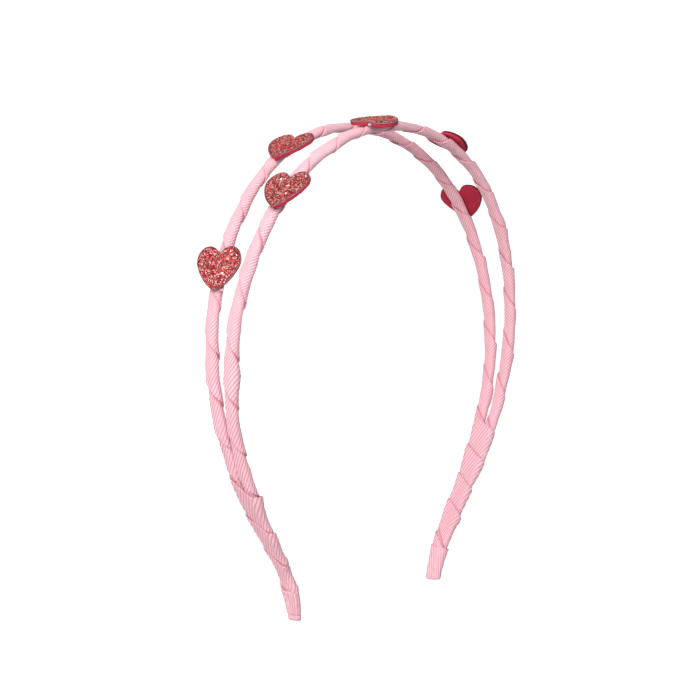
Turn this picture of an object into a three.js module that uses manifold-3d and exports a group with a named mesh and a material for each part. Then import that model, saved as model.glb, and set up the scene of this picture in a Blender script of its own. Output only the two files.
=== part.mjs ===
// Heart headband: two slim bands wound in ribbon, bound together at both ends, with six layered hearts.
// Millimetres. The pieces are drawn as the band is worn, with X across the head, Y to its back and Z up.
// The whole is then laid on its side, back band down, as the band lies on a table by itself.
import * as THREE from 'three';
import { mergeVertices } from 'three/addons/utils/BufferGeometryUtils.js';
import Module from 'manifold-3d';

// Half of the arch, from the crown to a tip: a chain of tangent arcs and one straight stretch.
const ARCH = [
  { stretch: 'crown', length: 36.5, turnDeg: 36 },
  { stretch: 'shoulder', length: 10, turnDeg: 12 },
  { stretch: 'side', length: 75.5, turnDeg: 60 },
  { stretch: 'leg', length: 28.5, turnDeg: 14 },
  { stretch: 'straight', length: 12, turnDeg: 0 },
  { stretch: 'flare', length: 22.5, turnDeg: -22.5 },
];

// The two bands run side by side above the ends, then lean apart up to the crown, the back one further.
const FRONT = -1;
const BACK = 1;
const SPLAY = { startHeight: 50, softness: 10, jointOffset: 2.45, tipOffset: 0.85, closing: 24 };
const LEAN_DEG = { [FRONT]: 3.2, [BACK]: 5 };

// One band: a slim strip, wound in ribbon whose free edge rides on the turn before it. The free edges of a
// band look to its left tip, and those of a shared end to the crown.
const TO_LEFT_TIP = -1;
const TO_RIGHT_TIP = 1;
const BAND = { width: 3.7, thickness: 2.2, corner: 1.05 };
const STRIP = { width: 1.3, thickness: 0.8 };
const RIBBON = { pitch: 14, overlapStep: 0.36, ringsPerTurn: 8, sides: 10 };

// Both strips run on inside a shared winding, and a last turn of ribbon closes each tip.
const WINDING_START = 141;
const FIT_GAP = 0.3;
const STRIP_CLEARANCE = 0.15;
const CAP_FLOOR = 1.2;
const LEFT = -1;
const RIGHT = 1;
const ENDS = [
  {
    name: 'left',
    end: LEFT,
    winding: [
      { fromTip: 44, width: 7.45, thickness: 2, corner: 0.95 },
      { fromTip: 30, width: 7.05, thickness: 2, corner: 0.95 },
      { fromTip: 22, width: 5.55, thickness: 2, corner: 0.95 },
      { fromTip: 17, width: 4.4, thickness: 2, corner: 0.95 },
      { fromTip: 10, width: 5.3, thickness: 2.1, corner: 1 },
    ],
    cap: [
      { fromTip: 10, width: 6.4, thickness: 2.5, corner: 1.2 },
      { fromTip: 7, width: 6, thickness: 2.4, corner: 1.15 },
      { fromTip: 1, width: 4.3, thickness: 2.2, corner: 1 },
      { fromTip: 0, width: 4, thickness: 2.1, corner: 0.95 },
    ],
  },
  {
    name: 'right',
    end: RIGHT,
    winding: [
      { fromTip: 44, width: 8.05, thickness: 2, corner: 0.95 },
      { fromTip: 40, width: 7.85, thickness: 2, corner: 0.95 },
      { fromTip: 36, width: 6.85, thickness: 2, corner: 0.95 },
      { fromTip: 22, width: 6.5, thickness: 2, corner: 0.95 },
      { fromTip: 12, width: 5.9, thickness: 2.1, corner: 1 },
    ],
    cap: [
      { fromTip: 12, width: 6.6, thickness: 2.5, corner: 1.2 },
      { fromTip: 8, width: 5.9, thickness: 2.4, corner: 1.15 },
      { fromTip: 1, width: 5.3, thickness: 2.2, corner: 1 },
      { fromTip: 0, width: 5.1, thickness: 2.1, corner: 0.95 },
    ],
  },
];
const CAP_RINGS = 8;
const STRIP_RINGS = 12;
const STRIP_OVERLAP = 2;
const HOLLOW_REACH = 1;

// A heart is two die-cut layers: felt behind, glitter sheet in front.
const HEART = { width: 15, height: 12.7, lobeRadius: 3.85, sideRadius: 14 };
const FELT_THICKNESS = 0.7;
const GLITTER_THICKNESS = 0.4;
const LAYER_GAP = 0.1;
const SEAT_RINGS = 24;
const LOBE_STEPS = 10;
const SIDE_STEPS = 4;

// Hearts along the bands: distance from the crown, offset across the band, and the small turns left by
// hand gluing. notch tells which way along the band the notch looks, 1 to the right and -1 to the left.
const HEARTS = [
  { band: BACK, along: -75.5, across: -1.1, notch: 1, spinDeg: 2.6, rollDeg: 12.8, pitchDeg: -2.4 },
  { band: BACK, along: -33.2, across: -2.3, notch: 1, spinDeg: 5.0, rollDeg: 6.0, pitchDeg: -0.8 },
  { band: BACK, along: 53.0, across: -0.6, notch: -1, spinDeg: 3.7, rollDeg: -8.3, pitchDeg: -4.8 },
  { band: FRONT, along: -51.3, across: -1.5, notch: 1, spinDeg: 7.6, rollDeg: 0.7, pitchDeg: 3.7 },
  { band: FRONT, along: -11.6, across: -2.0, notch: -1, spinDeg: 9.1, rollDeg: 2.8, pitchDeg: -0.8 },
  { band: FRONT, along: 25.5, across: 2.6, notch: -1, spinDeg: -11.6, rollDeg: 1.8, pitchDeg: 1.0 },
];
const GLUE_SEAM = 0.2;

// Turns that lay the worn band on its side: onto the back, then level on its lowest points.
const REST = { backDeg: -90, leanDeg: 5.66, rollDeg: -0.491 };

const RIBBON_LOOK = { color: 0xf0c2cb, roughness: 0.75, metalness: 0 };
const FELT_LOOK = { color: 0xa82a42, roughness: 0.95, metalness: 0 };
const GLITTER_LOOK = { color: 0xbd6264, roughness: 0.4, metalness: 0.5 };

const wasm = await Module();
wasm.setup();

const toRadians = THREE.MathUtils.degToRad;
const SLOPE_STEP = 0.05;
const WELD_DISTANCE = 1e-4;

// Follows a chain of arcs and straights, given by length and right-hand turn, starting along +X.
function walk(rows, distance) {
  let left = distance;
  let x = 0;
  let y = 0;
  let heading = 0;
  for (const row of rows) {
    const run = Math.min(left, row.length);
    const turn = row.length > 0 ? toRadians(row.turnDeg) * run / row.length : 0;
    const chord = turn === 0 ? run : 2 * run / turn * Math.sin(turn / 2);
    x += chord * Math.cos(heading + turn / 2);
    y -= chord * Math.sin(heading + turn / 2);
    heading += turn;
    left -= run;
  }
  return { x, y, heading };
}

function totalLength(rows) {
  return rows.reduce((sum, row) => sum + row.length, 0);
}

const HALF_LENGTH = totalLength(ARCH);
const ARCH_HEIGHT = -walk(ARCH, HALF_LENGTH).y;

// Distance of a band's centre line from the middle plane, with the slope at which it leans away.
function bandOffset(side, distance, height) {
  const intoWinding = THREE.MathUtils.clamp((Math.abs(distance) - WINDING_START) / SPLAY.closing, 0, 1);
  const joint = THREE.MathUtils.lerp(SPLAY.jointOffset, SPLAY.tipOffset, intoWinding);
  const rise = Math.max(0, height - SPLAY.startHeight);
  const eased = Math.hypot(rise, SPLAY.softness);
  const lean = Math.tan(toRadians(LEAN_DEG[side] ?? 0));
  return { offset: joint + lean * (eased - SPLAY.softness), slope: lean * rise / eased };
}

// Centre point of a band, or of the shared ends with side 0, at a signed distance from the crown.
function centreAt(side, distance) {
  const half = walk(ARCH, Math.abs(distance));
  const height = ARCH_HEIGHT + half.y;
  const { offset } = bandOffset(side, distance, height);
  return new THREE.Vector3(Math.sign(distance) * half.x, side * offset, height);
}

// Local axes of a band: along it, across its width and out of its outer face.
function frameAt(side, distance) {
  const centre = centreAt(side, distance);
  const ahead = centreAt(side, distance + SLOPE_STEP);
  const along = ahead.sub(centreAt(side, distance - SLOPE_STEP)).normalize();
  const slope = side * bandOffset(side, distance, centre.z).slope;
  const out = new THREE.Vector3().crossVectors(along, new THREE.Vector3(0, 1, -slope)).normalize();
  const across = new THREE.Vector3().crossVectors(out, along);
  return { centre, along, across, out };
}

// Outline of a rounded rectangle as a chain that starts at the left end of its outer face.
function sectionRows({ width, thickness, corner }) {
  const bend = { length: Math.PI * corner / 2, turnDeg: 90 };
  const face = { length: width - 2 * corner, turnDeg: 0 };
  const edge = { length: thickness - 2 * corner, turnDeg: 0 };
  return [face, bend, edge, bend, face, bend, edge, bend];
}

// Point of a section, a fraction of the way round it and raised off it, placed in a local frame.
function sectionPoint(frame, section, fraction, raised) {
  const rows = sectionRows(section);
  const spot = walk(rows, THREE.MathUtils.euclideanModulo(fraction, 1) * totalLength(rows));
  const u = spot.x - section.width / 2 + section.corner + raised * Math.sin(spot.heading);
  const v = spot.y + section.thickness / 2 + raised * Math.cos(spot.heading);
  return frame.centre.clone().addScaledVector(frame.across, u).addScaledVector(frame.out, v);
}

// Ring round a wound piece. It turns with the ribbon and rises to the ribbon's free edge, then drops.
function woundRing(frame, section, turns, overlapStep, freeEdge) {
  const ring = [];
  for (let i = 0; i <= RIBBON.sides; i += 1) {
    const acrossRibbon = i / RIBBON.sides;
    const rise = freeEdge === TO_RIGHT_TIP ? acrossRibbon : 1 - acrossRibbon;
    ring.push(sectionPoint(frame, section, turns - acrossRibbon, overlapStep * rise));
  }
  return ring;
}

// Plain four-cornered ring, for the strips and the hollow that they run in.
function stripRing(frame, width, thickness) {
  const corners = [[-1, 1], [-1, -1], [1, -1], [1, 1]];
  return corners.map(([u, v]) => frame.centre.clone()
    .addScaledVector(frame.across, u * width / 2)
    .addScaledVector(frame.out, v * thickness / 2));
}

// Closed skin over a row of rings with equal counts, with a fan over each end.
function skin(rings) {
  const count = rings[0].length;
  const positions = [];
  const middle = (ring) => ring.reduce((sum, p) => sum.add(p), new THREE.Vector3()).divideScalar(count);
  const quads = rings.length - 1;
  const put = (...points) => points.forEach((p) => positions.push(p.x, p.y, p.z));
  for (let r = 0; r < quads; r += 1) {
    for (let i = 0; i < count; i += 1) {
      const j = (i + 1) % count;
      put(rings[r][i], rings[r][j], rings[r + 1][j]);
      put(rings[r][i], rings[r + 1][j], rings[r + 1][i]);
    }
  }
  const first = middle(rings[0]);
  const last = middle(rings[quads]);
  for (let i = 0; i < count; i += 1) {
    const j = (i + 1) % count;
    put(first, rings[0][j], rings[0][i]);
    put(last, rings[quads][i], rings[quads][j]);
  }
  const geometry = new THREE.BufferGeometry();
  geometry.setAttribute('position', new THREE.Float32BufferAttribute(positions, 3));
  return mergeVertices(geometry, WELD_DISTANCE);
}

function toSolid(geometry) {
  const vertProperties = geometry.attributes.position.array;
  const triVerts = Uint32Array.from(geometry.index.array);
  return new wasm.Manifold(new wasm.Mesh({ numProp: 3, vertProperties, triVerts }));
}

function toGeometry(solid) {
  const mesh = solid.getMesh();
  const geometry = new THREE.BufferGeometry();
  geometry.setAttribute('position', new THREE.BufferAttribute(mesh.vertProperties, 3));
  geometry.setIndex(new THREE.BufferAttribute(mesh.triVerts, 1));
  return geometry;
}

// Evenly spaced distances from one end of a stretch to the other, both included.
function stations(from, to, count) {
  return Array.from({ length: count + 1 }, (unused, i) => THREE.MathUtils.lerp(from, to, i / count));
}

// Size of a shared end at a distance from its tip, between the rows of a table.
function sectionBetween(rows, fromTip) {
  const after = Math.max(1, rows.findIndex((row) => row.fromTip <= fromTip + WELD_DISTANCE));
  const [a, b] = [rows[after - 1], rows[after]];
  const t = (a.fromTip - fromTip) / (a.fromTip - b.fromTip);
  const mix = (key) => THREE.MathUtils.lerp(a[key], b[key], t);
  return { width: mix('width'), thickness: mix('thickness'), corner: mix('corner') };
}

function bandRing(side, distance) {
  const turns = distance / RIBBON.pitch;
  return woundRing(frameAt(side, distance), BAND, turns, RIBBON.overlapStep, TO_LEFT_TIP);
}

// One band: its wound length in the middle, with the bare strip running on into both ends.
function bandGeometry(side) {
  const woundEnd = WINDING_START - FIT_GAP;
  const rings = Math.round(2 * woundEnd / RIBBON.pitch * RIBBON.ringsPerTurn);
  const wound = skin(stations(-woundEnd, woundEnd, rings).map((distance) => bandRing(side, distance)));
  const stripEnd = HALF_LENGTH - CAP_FLOOR - FIT_GAP;
  let solid = toSolid(wound);
  for (const [from, to] of [[-stripEnd, STRIP_OVERLAP - woundEnd], [woundEnd - STRIP_OVERLAP, stripEnd]]) {
    const strip = stations(from, to, STRIP_RINGS).map((distance) => (
      stripRing(frameAt(side, distance), STRIP.width, STRIP.thickness)));
    solid = solid.add(toSolid(skin(strip)));
  }
  return toGeometry(solid);
}

// Hollow of one end, which clears both strips and stops short of the tip.
function stripHollow(end) {
  const distances = stations(WINDING_START - HOLLOW_REACH, HALF_LENGTH - CAP_FLOOR, STRIP_RINGS);
  const ordered = end < 0 ? distances.map((distance) => -distance).reverse() : distances;
  const rings = ordered.map((distance) => {
    const frame = frameAt(0, distance);
    const { offset } = bandOffset(0, distance, frame.centre.z);
    const width = 2 * (offset + STRIP.width / 2 + STRIP_CLEARANCE);
    return stripRing(frame, width, STRIP.thickness + 2 * STRIP_CLEARANCE);
  });
  return toSolid(skin(rings));
}

// Wound piece of one end between two distances from the tip, hollowed for the strips.
function endGeometry(end, rows, fromTip, toTip, ringCount, pitch, overlapStep) {
  const distances = stations(HALF_LENGTH - fromTip, HALF_LENGTH - toTip, ringCount);
  const ordered = end < 0 ? distances.map((distance) => -distance).reverse() : distances;
  const rings = ordered.map((distance) => {
    const section = sectionBetween(rows, HALF_LENGTH - Math.abs(distance));
    return woundRing(frameAt(0, distance), section, distance / pitch, overlapStep, -end);
  });
  return toGeometry(toSolid(skin(rings)).subtract(stripHollow(end)));
}

// Heart outline: two round lobes that meet in the notch, and a bowed side from each lobe to the point.
function heartShape({ width, height, lobeRadius, sideRadius }) {
  const lobe = new THREE.Vector2(width / 2 - lobeRadius, height / 2 - lobeRadius);
  const point = new THREE.Vector2(0, -height / 2);
  const span = lobe.clone().sub(point);
  const inset = sideRadius - lobeRadius;
  const cosine = (span.lengthSq() + inset ** 2 - sideRadius ** 2) / (2 * inset * span.length());
  const meet = span.angle() - Math.acos(cosine);
  const side = new THREE.Vector2(lobe.x - inset * Math.cos(meet), lobe.y - inset * Math.sin(meet));
  const end = point.clone().sub(side).angle() - 2 * Math.PI;
  const notch = Math.PI - Math.acos(lobe.x / lobeRadius);
  const arc = (centre, radius, from, to, steps) => stations(from, to, steps).map((angle) => (
    new THREE.Vector2(centre.x + radius * Math.cos(angle), centre.y + radius * Math.sin(angle))));
  const right = [
    ...arc(lobe, lobeRadius, notch, meet, LOBE_STEPS),
    ...arc(side, sideRadius, meet, end, SIDE_STEPS).slice(1),
  ];
  const left = right.slice(1, -1).reverse().map((p) => new THREE.Vector2(-p.x, p.y));
  return new THREE.Shape([...right, ...left]);
}

function heartLayer(depth, lift) {
  const layer = new THREE.ExtrudeGeometry(heartShape(HEART), { depth, bevelEnabled: false });
  layer.translate(0, 0, lift);
  return layer;
}

function piece(name, geometry, look) {
  const mesh = new THREE.Mesh(geometry, new THREE.MeshStandardMaterial(look));
  mesh.name = name;
  return mesh;
}

// A heart's group: local Y runs to the notch, local Z out of the glitter face, origin on the felt's back,
// which lies on the highest points of the ribbon that it covers, a glue seam away.
function heartGroup({ band, along, across, notch, spinDeg, rollDeg, pitchDeg }, number) {
  const frame = frameAt(band, along);
  const hinge = frame.across.clone().applyAxisAngle(frame.along, toRadians(rollDeg));
  const out = frame.out.clone().applyAxisAngle(frame.along, toRadians(rollDeg));
  out.applyAxisAngle(hinge, toRadians(pitchDeg));
  const up = frame.along.clone().multiplyScalar(notch).applyAxisAngle(hinge, toRadians(pitchDeg));
  up.applyAxisAngle(out, toRadians(spinDeg));
  const right = new THREE.Vector3().crossVectors(up, out);
  const group = new THREE.Group();
  group.position.copy(frame.centre).addScaledVector(frame.across, across);
  const covered = stations(along - HEART.height / 2, along + HEART.height / 2, SEAT_RINGS);
  const heights = covered.flatMap((distance) => bandRing(band, distance))
    .map((spot) => spot.sub(group.position).dot(out));
  group.position.addScaledVector(out, Math.max(...heights) + GLUE_SEAM);
  group.quaternion.setFromRotationMatrix(new THREE.Matrix4().makeBasis(right, up, out));
  group.add(piece(`heart_${number}_felt`, heartLayer(FELT_THICKNESS, 0), FELT_LOOK));
  const facing = heartLayer(GLITTER_THICKNESS, FELT_THICKNESS + LAYER_GAP);
  group.add(piece(`heart_${number}_glitter`, facing, GLITTER_LOOK));
  return group;
}

const headband = new THREE.Group();
headband.add(piece('front_band', bandGeometry(FRONT), RIBBON_LOOK));
headband.add(piece('back_band', bandGeometry(BACK), RIBBON_LOOK));
const windingTop = HALF_LENGTH - WINDING_START;
for (const { name, end, winding, cap } of ENDS) {
  const capLength = cap[0].fromTip;
  const rings = Math.round((windingTop - capLength) / RIBBON.pitch * RIBBON.ringsPerTurn);
  const wound = endGeometry(
    end, winding, windingTop, capLength + FIT_GAP, rings, RIBBON.pitch, RIBBON.overlapStep);
  headband.add(piece(`${name}_end_winding`, wound, RIBBON_LOOK));
  const folded = endGeometry(end, cap, capLength, 0, CAP_RINGS, Infinity, 0);
  headband.add(piece(`${name}_tip_cap`, folded, RIBBON_LOOK));
}
HEARTS.forEach((row, i) => headband.add(heartGroup(row, i + 1)));
headband.rotation.set(toRadians(REST.backDeg + REST.leanDeg), toRadians(REST.rollDeg), 0, 'YXZ');

// The origin is under the middle of the laid band, on the surface that it lies on.
const extent = new THREE.Box3().setFromObject(headband, true);
const middle = extent.getCenter(new THREE.Vector3());
headband.position.set(-middle.x, -middle.y, -extent.min.z);

export default headband;
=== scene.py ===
import math

import bpy
import numpy as np
from mathutils import Matrix, Vector, noise


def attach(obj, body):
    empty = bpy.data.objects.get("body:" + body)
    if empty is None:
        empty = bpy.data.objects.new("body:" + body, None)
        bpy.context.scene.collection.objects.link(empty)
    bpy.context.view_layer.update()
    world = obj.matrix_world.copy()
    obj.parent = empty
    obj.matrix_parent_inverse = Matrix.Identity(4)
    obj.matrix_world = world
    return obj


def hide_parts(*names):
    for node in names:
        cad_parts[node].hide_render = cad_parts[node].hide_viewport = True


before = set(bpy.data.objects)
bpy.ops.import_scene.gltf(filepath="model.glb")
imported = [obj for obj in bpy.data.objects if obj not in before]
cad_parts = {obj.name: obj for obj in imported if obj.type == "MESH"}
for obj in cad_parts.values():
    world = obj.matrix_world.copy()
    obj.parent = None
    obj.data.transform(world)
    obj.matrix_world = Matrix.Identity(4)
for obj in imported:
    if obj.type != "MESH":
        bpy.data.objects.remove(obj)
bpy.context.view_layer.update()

# Front and back bands. Two slim spring strips, each wound from end to end in pink grosgrain ribbon,
# a corded weave with its ribs across the ribbon. Every turn rides on the one before it, with its free
# edge to the left tip.
ARCH = [
    {"stretch": "crown", "length": 36.5, "turn_deg": 36.0},
    {"stretch": "shoulder", "length": 10.0, "turn_deg": 12.0},
    {"stretch": "side", "length": 75.5, "turn_deg": 60.0},
    {"stretch": "leg", "length": 28.5, "turn_deg": 14.0},
    {"stretch": "straight", "length": 12.0, "turn_deg": 0.0},
    {"stretch": "flare", "length": 22.5, "turn_deg": -22.5},
]
HALF_ARCH = sum(row["length"] for row in ARCH)
SPLAY = {"start": 50.0, "softness": 10.0, "joint": 2.45, "tip": 0.85, "closing": 24.0}
GATHER = {
    "distance": (-140.0, -131.0, -125.0, -112.0, -90.0, -70.0, 110.0, 118.0, 123.0, 128.0, 133.0, 140.0),
    "front": (0.4, 0.3, -0.1, -0.35, -0.2, 0.0, 0.0, -0.1, -0.2, -0.1, 0.15, 0.25),
    "back": (0.4, 0.3, 0.1, 0.0, 0.0, 0.0, 0.0, -0.2, -0.35, -0.1, 0.15, 0.25),
    "ends": (0.0,) * 12,
}
SQUEEZE = {"from": 118.0, "over": 18.0, "by": 0.14}
STRANDS = {
    "front": {"side": -1, "lean_deg": 3.2},
    "back": {"side": 1, "lean_deg": 5.0},
    "ends": {"side": 0, "lean_deg": 0.0},
}
WINDING_START = 141.0
LAID = {"back_deg": -90.0, "lean_deg": 5.66, "roll_deg": -0.491, "at": (0.049, -73.268, 2.515)}
BAND = {"width": 3.7, "thickness": 2.2, "corner": 1.05}
RIBBON = {"width": 10.0, "thickness": 0.28, "step": 0.42, "overlap": 0.18, "samples": 6, "pressed_by": 0.85}
RIB_LEVEL = 0.6
RIBBON_ROWS = {
    "outer": (0.0, 0.012, 0.03, 0.07, 0.13, 0.21, 0.3, 0.4, 0.5, 0.6, 0.7, 0.8, 0.9, 1.0),
    "inner": (0.85, 0.6, 0.35, 0.12, 0.012),
    "edge": 0.03,
    "plain": 0.05,
    "rounded": (0.5, 0.12, 0.5),
}
FREE_EDGE = {
    "to": -1,
    "loose": 0.06, "loose_over": 0.06,
    "wander": 0.014, "small_wander": 0.01, "wander_over": 0.5,
}
# The deep, pale and nap colours are the ribbon's dye. The colour between the cords is painted shade, and the
# same colour paints the shade beside each overlap.
RIBBON_DYE_AND_SHADE = {
    "deep": (0.88, 0.485, 0.550),
    "pale": (0.93, 0.570, 0.630),
    "nap": (0.97, 0.73, 0.78),
    "painted_valley_shade": (0.64, 0.175, 0.240),
}
# One key here sets how strongly painted shade darkens the hollows between the cords.
RIBBON_FINISH = {"fibre_scale": 2600.0, "tint_scale": 90.0, "nap": 0.25, "painted_valley_shade": 0.95, "warp_per_mm": 28.0}
# Painted shade in a patchy strip on the turn beneath, just beside the edge of the turn that lies over it.
OVERLAP_PAINTED_SHADE = {"across": 9.85, "half": 0.75, "strength": 1.3}
BAND_RIB = {
    "height": 0.13,
    "spacing": ((-150.0, -110.0, -85.0, 30.0, 80.0, 140.0), (0.82, 0.82, 0.66, 0.66, 0.74, 0.82)),
    "slant_deg": ((-150.0, -110.0, -80.0, 30.0, 80.0, 140.0), (28.0, 30.0, 44.0, 42.0, 37.0, 29.0)),
}
BAND_TUCK = {"from": 142.5, "over": 4.0, "depth": 1.0, "end": 156.0}
TIP_TUCK = {"from": 183.5, "by": 0.97}
UNEVEN = {"slow": 0.05, "quick": 0.04, "pucker_around": 0.11}
BAND_PRESSED = (
    (-150.0, -100.0, -80.0, -50.0, -38.0, -8.0, 4.0, 45.0, 60.0, 100.0, 150.0),
    (0.05, 0.1, 0.15, 0.2, 0.7, 0.85, 0.3, 0.25, 0.2, 0.2, 0.3),
)
FACING_US = {"distance": (-150.0, -60.0, 0.0, 60.0, 150.0), "turn": (0.92, 0.92, 0.83, 0.74, 0.74)}
BAND_WINDS = [
    {
        "strand": "front",
        "crossings": [-137.5, -124.0, -110.3, -96.5, -81.0, -65.5, -53.0, -40.0, -28.5, -17.5, -5.5,
                      6.5, 18.5, 31.5, 45.5, 59.5, 73.0, 87.0, 102.0, 116.5, 131.5, 146.0],
        "puckers": [
            {"at": -131.0, "turn": 0.76, "over": 3.5, "by": 0.35},
            {"at": -103.5, "turn": 0.74, "over": 4.4, "by": 1.0},
            {"at": -74.0, "turn": 0.77, "over": 3.0, "by": 0.35},
            {"at": -31.0, "turn": 0.75, "over": 4.0, "by": 0.4},
            {"at": 44.5, "turn": 0.92, "over": 2.5, "by": 0.3},
            {"at": 59.5, "turn": 0.92, "over": 3.2, "by": 0.6},
            {"at": 104.0, "turn": 0.92, "over": 4.0, "by": 0.35},
        ],
    },
    {
        "strand": "back",
        "crossings": [-148.0, -135.0, -124.0, -110.5, -96.8, -83.0, -70.0, -57.0, -43.8, -30.5, -17.0, -4.5,
                      8.5, 20.5, 32.0, 43.5, 55.5, 69.8, 85.0, 99.5, 114.0, 127.8, 141.0],
        "puckers": [
            {"at": -119.5, "turn": 0.10, "over": 3.0, "by": 0.35},
            {"at": -100.5, "turn": 0.77, "over": 2.5, "by": 0.3},
            {"at": -17.0, "turn": 0.04, "over": 2.6, "by": 0.5},
            {"at": 18.0, "turn": 0.68, "over": 5.0, "by": 0.35},
            {"at": 76.0, "turn": 0.58, "over": 4.0, "by": 0.25},
            {"at": 119.5, "turn": 0.93, "over": 3.5, "by": 0.45},
        ],
    },
]


def follow(rows, distance):
    """Place and heading a distance along a chain of straights and arcs, from rows of length and turn."""
    left = np.asarray(distance, float)
    x, y, heading = np.zeros(left.shape), np.zeros(left.shape), np.zeros(left.shape)
    for length, turn_deg in rows:
        run = np.clip(left, 0, length)
        turn = np.radians(turn_deg) * run / np.maximum(length, 1e-9)
        chord = run * np.sinc(turn / (2 * np.pi))
        x = x + chord * np.cos(heading + turn / 2)
        y = y - chord * np.sin(heading + turn / 2)
        heading = heading + turn
        left = left - run
    return x, y, heading


def unit(vectors):
    """Vectors brought to a length of one."""
    return vectors / np.linalg.norm(vectors, axis=-1, keepdims=True)


def centre_line(strand, distance):
    """Worn place of a strand's middle at signed distances from the crown, and how far it leans there."""
    rows = [(row["length"], row["turn_deg"]) for row in ARCH]
    arch_height = -follow(rows, HALF_ARCH)[1]
    x, drop, _ = follow(rows, np.abs(distance))
    height = arch_height + drop
    into = np.clip((np.abs(distance) - WINDING_START) / SPLAY["closing"], 0, 1)
    gathered = SPLAY["joint"] - np.interp(distance, GATHER["distance"], GATHER[strand])
    joint = gathered + (SPLAY["tip"] - gathered) * into
    rise = np.clip(height - SPLAY["start"], 0, None)
    eased = np.hypot(rise, SPLAY["softness"])
    lean = math.tan(math.radians(STRANDS[strand]["lean_deg"]))
    side = STRANDS[strand]["side"]
    offset = side * (joint + lean * (eased - SPLAY["softness"]))
    return np.stack([np.sign(distance) * x, offset, height], -1), side * lean * rise / eased


def strand_frame(strand, distance):
    """Middle of a strand with its directions along, across and out of its outer face."""
    step = 0.05
    middle, slope = centre_line(strand, distance)
    along = unit(centre_line(strand, distance + step)[0] - centre_line(strand, distance - step)[0])
    out = unit(np.cross(along, np.stack([0 * slope, 1 + 0 * slope, -slope], -1)))
    return middle, along, np.cross(out, along), out


def section_point(place, size, turns, raised):
    """Point round a rounded rectangle, by turns from the left end of its outer face, raised off it."""
    middle, _, across, out = place
    width, thickness, corner = size["width"], size["thickness"], size["corner"]
    bend, face, edge = (np.pi * corner / 2, 90.0), (width - 2 * corner, 0.0), (thickness - 2 * corner, 0.0)
    rows = [face, bend, edge, bend, face, bend, edge, bend]
    spot = follow(rows, np.mod(turns, 1) * sum(row[0] for row in rows))
    u = spot[0] - width / 2 + corner + raised * np.sin(spot[2])
    v = spot[1] + thickness / 2 + raised * np.cos(spot[2])
    return middle + across * u[..., None] + out * v[..., None]


def girth(size):
    """Way round a rounded rectangle."""
    return 2 * (size["width"] + size["thickness"]) - (8 - 2 * np.pi) * size["corner"]


def laid(points):
    """Worn millimetres to the metres of the band lying on its side."""
    turn = Matrix.Rotation(math.radians(LAID["roll_deg"]), 3, "Y") @ Matrix.Rotation(
        math.radians(LAID["back_deg"] + LAID["lean_deg"]), 3, "X")
    return (np.asarray(points, float) @ np.array(turn).T + np.array(LAID["at"])) / 1000


def piece_of(data):
    """Object in the scene for a mesh, lamp or lens, under the same name."""
    piece = bpy.data.objects.new(data.name, data)
    bpy.context.collection.objects.link(piece)
    return piece


def ring_tube(name, rings, maps, material):
    """Closed body over rows of rings, each a loop of points, both ends closed, with named surface maps."""
    rows, count = rings.shape[:2]
    first = np.arange(rows - 1)[:, None] * count
    here, beside = np.arange(count)[None, :], (np.arange(count)[None, :] + 1) % count
    quads = np.stack([first + here, first + beside, first + count + beside, first + count + here], -1)
    faces = quads.reshape(-1, 4).tolist()
    faces.append(list(range(count))[::-1])
    faces.append(list(range((rows - 1) * count, rows * count)))
    mesh = bpy.data.meshes.new(name)
    mesh.from_pydata(rings.reshape(-1, 3).tolist(), [], faces)
    corners = np.empty(len(mesh.loops), np.int32)
    mesh.loops.foreach_get("vertex_index", corners)
    for title, values in maps.items():
        surface_map = mesh.uv_layers.new(name=title)
        surface_map.data.foreach_set("uv", values.reshape(-1, 2)[corners].ravel().astype(np.float32))
    mesh.polygons.foreach_set("use_smooth", np.ones(len(mesh.polygons), bool))
    mesh.materials.append(material)
    return piece_of(mesh)


def turns_through(crossings, turn_at):
    """Winding of a ribbon whose free edge crosses a known turn of the section at measured distances."""
    places = np.array(crossings, float)
    turns = np.arange(len(places)) + turn_at(places)
    before = (turns[1] - turns[0]) / (places[1] - places[0])
    after = (turns[-1] - turns[-2]) / (places[-1] - places[-2])

    def turns_at(distance):
        beyond = before * np.minimum(distance - places[0], 0) + after * np.maximum(distance - places[-1], 0)
        return np.interp(distance, places, turns) + beyond

    return turns_at


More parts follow.
